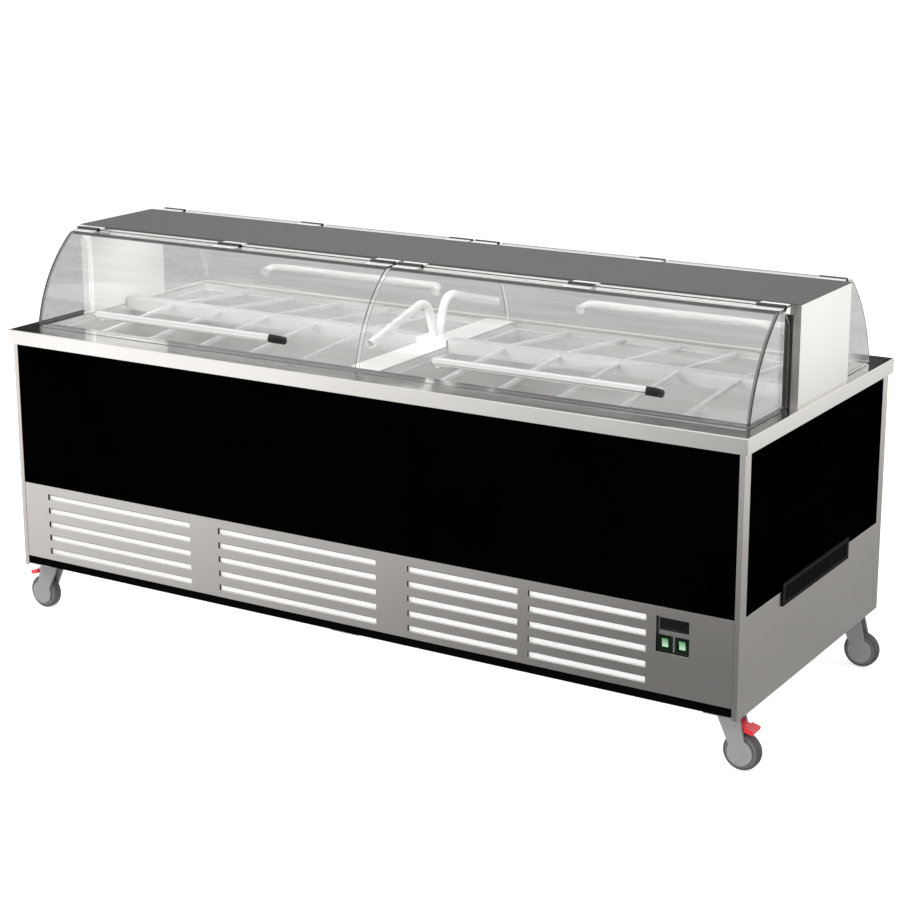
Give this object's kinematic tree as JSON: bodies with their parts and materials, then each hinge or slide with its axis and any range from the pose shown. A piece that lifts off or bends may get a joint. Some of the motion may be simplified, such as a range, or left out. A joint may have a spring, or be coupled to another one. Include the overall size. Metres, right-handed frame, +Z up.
{
  "type": "buffet counter",
  "caption": "Mobile refrigerated buffet counter with pan wells under hinged clear bowed covers, end columns, canopy, slotted base and braked castors.",
  "frame": {"origin": "on the floor, under the middle of the counter", "axes": "+X along the counter's length with the controls at the front right, +Z up, -Y to the front"},
  "size_m": [2.396, 0.98, 1.14],
  "materials": {
    "polished_steel": "polished",
    "satin_steel": "satin",
    "bright_steel": "polished",
    "black_laminate": "satin",
    "black_coated_steel": "satin",
    "black_plastic": "matte",
    "seal_rubber": "satin",
    "canopy_grey": "matte",
    "white_enamel": "gloss",
    "clear_acrylic": "gloss",
    "castor_zinc": "satin",
    "wheel_rubber": "matte",
    "pedal_red": "satin",
    "switch_green": "gloss",
    "display_black": "gloss",
    "filter_white": "matte",
    "galvanised_steel": "satin",
    "copper_tube": "satin",
    "fin_aluminium": "satin",
    "compressor_black": "satin",
    "motor_grey": "satin",
    "fan_plastic": "matte",
    "foam": "matte",
    "drain_plastic": "matte"
  },
  "bodies": {
    "counter": {"countertop": "polished_steel", "wells": "polished_steel", "well_spines": "polished_steel", "pan_bars": "polished_steel", "centre_bridge": "polished_steel", "columns": "polished_steel", "hinge_rails": "polished_steel", "front_lower_panel": "satin_steel", "rear_lower_panel": "satin_steel", "end_lower_panels": "satin_steel", "corner_posts": "satin_steel", "hinge_fixed_leaves": "bright_steel", "hinge_pins": "bright_steel", "black_panels": "black_laminate", "plinth_strips": "black_coated_steel", "end_grille": "black_plastic", "control_bezel": "black_plastic", "column_seals": "seal_rubber", "canopy": "canopy_grey", "centre_stay": "white_enamel", "castor_plates": "castor_zinc", "castor_bolts": "castor_zinc", "controller": "display_black", "air_filters": "filter_white", "base_beams": "galvanised_steel", "floor_tray": "galvanised_steel", "fan_shroud": "galvanised_steel", "electrical_box": "galvanised_steel", "refrigerant_pipes": "copper_tube", "condenser": "fin_aluminium", "compressor": "compressor_black", "fan_motor": "motor_grey", "well_insulation": "foam", "well_drains": "drain_plastic", "cable_gland": "drain_plastic"},
    "cover_front_left": {"cover_front_left": "clear_acrylic", "handle_front_left": "bright_steel", "hinge_leaves_front_left": "bright_steel"},
    "castor_front_left": {"castor_fork_front_left": "castor_zinc"},
    "wheel_front_left": {"castor_wheel_front_left": "wheel_rubber"},
    "cover_front_right": {"cover_front_right": "clear_acrylic", "handle_front_right": "bright_steel", "hinge_leaves_front_right": "bright_steel"},
    "castor_front_right": {"castor_fork_front_right": "castor_zinc"},
    "wheel_front_right": {"castor_wheel_front_right": "wheel_rubber"},
    "cover_rear_left": {"cover_rear_left": "clear_acrylic", "handle_rear_left": "bright_steel", "hinge_leaves_rear_left": "bright_steel"},
    "castor_rear_left": {"castor_fork_rear_left": "castor_zinc"},
    "wheel_rear_left": {"castor_wheel_rear_left": "wheel_rubber"},
    "cover_rear_right": {"cover_rear_right": "clear_acrylic", "handle_rear_right": "bright_steel", "hinge_leaves_rear_right": "bright_steel"},
    "castor_rear_right": {"castor_fork_rear_right": "castor_zinc"},
    "wheel_rear_right": {"castor_wheel_rear_right": "wheel_rubber"},
    "pedal_front_left": {"brake_pedal_front_left": "pedal_red"},
    "pedal_front_right": {"brake_pedal_front_right": "pedal_red"},
    "switch_left": {"rocker_left": "switch_green"},
    "switch_right": {"rocker_right": "switch_green"},
    "fan": {"fan_rotor": "fan_plastic"}
  },
  "joints": [
    {"name": "cover_hinge_front_left", "type": "hinge", "parent": "counter", "child": "cover_front_left", "pos_m": [-0.5695, -0.204, 1.134], "axis": [-1, 0, 0], "range_deg": [0, 110]},
    {"name": "cover_hinge_front_right", "type": "hinge", "parent": "counter", "child": "cover_front_right", "pos_m": [0.5695, -0.204, 1.134], "axis": [-1, 0, 0], "range_deg": [0, 110]},
    {"name": "cover_hinge_rear_left", "type": "hinge", "parent": "counter", "child": "cover_rear_left", "pos_m": [-0.5695, 0.204, 1.134], "axis": [1, 0, 0], "range_deg": [0, 110]},
    {"name": "cover_hinge_rear_right", "type": "hinge", "parent": "counter", "child": "cover_rear_right", "pos_m": [0.5695, 0.204, 1.134], "axis": [1, 0, 0], "range_deg": [0, 110]},
    {"name": "castor_swivel_front_left", "type": "hinge", "parent": "counter", "child": "castor_front_left", "pos_m": [-1.113, -0.409, 0.148], "axis": [0, 0, 1], "continuous": true},
    {"name": "wheel_spin_front_left", "type": "hinge", "parent": "castor_front_left", "child": "wheel_front_left", "pos_m": [-1.148, -0.409, 0.05], "axis": [0, 1, 0], "continuous": true},
    {"name": "castor_swivel_front_right", "type": "hinge", "parent": "counter", "child": "castor_front_right", "pos_m": [1.113, -0.409, 0.148], "axis": [0, 0, 1], "continuous": true},
    {"name": "wheel_spin_front_right", "type": "hinge", "parent": "castor_front_right", "child": "wheel_front_right", "pos_m": [1.148, -0.409, 0.05], "axis": [0, 1, 0], "continuous": true},
    {"name": "castor_swivel_rear_left", "type": "hinge", "parent": "counter", "child": "castor_rear_left", "pos_m": [-1.113, 0.409, 0.148], "axis": [0, 0, 1], "continuous": true},
    {"name": "wheel_spin_rear_left", "type": "hinge", "parent": "castor_rear_left", "child": "wheel_rear_left", "pos_m": [-1.148, 0.409, 0.05], "axis": [0, 1, 0], "continuous": true},
    {"name": "castor_swivel_rear_right", "type": "hinge", "parent": "counter", "child": "castor_rear_right", "pos_m": [1.113, 0.409, 0.148], "axis": [0, 0, 1], "continuous": true},
    {"name": "wheel_spin_rear_right", "type": "hinge", "parent": "castor_rear_right", "child": "wheel_rear_right", "pos_m": [1.148, 0.409, 0.05], "axis": [0, 1, 0], "continuous": true},
    {"name": "brake_pedal_front_left", "type": "hinge", "parent": "castor_front_left", "child": "pedal_front_left", "pos_m": [-1.135, -0.409, 0.122], "axis": [0, -1, 0], "range_deg": [0, 10]},
    {"name": "brake_pedal_front_right", "type": "hinge", "parent": "castor_front_right", "child": "pedal_front_right", "pos_m": [1.135, -0.409, 0.122], "axis": [0, 1, 0], "range_deg": [0, 10]},
    {"name": "switch_left", "type": "hinge", "parent": "counter", "child": "switch_left", "pos_m": [0.958, -0.467, 0.319], "axis": [-1, 0, 0], "range_deg": [0, 14]},
    {"name": "switch_right", "type": "hinge", "parent": "counter", "child": "switch_right", "pos_m": [1.005, -0.467, 0.319], "axis": [-1, 0, 0], "range_deg": [0, 14]},
    {"name": "fan_spin", "type": "hinge", "parent": "counter", "child": "fan", "pos_m": [0.372, -0.361, 0.3], "axis": [0, 1, 0], "continuous": true}
  ]
}
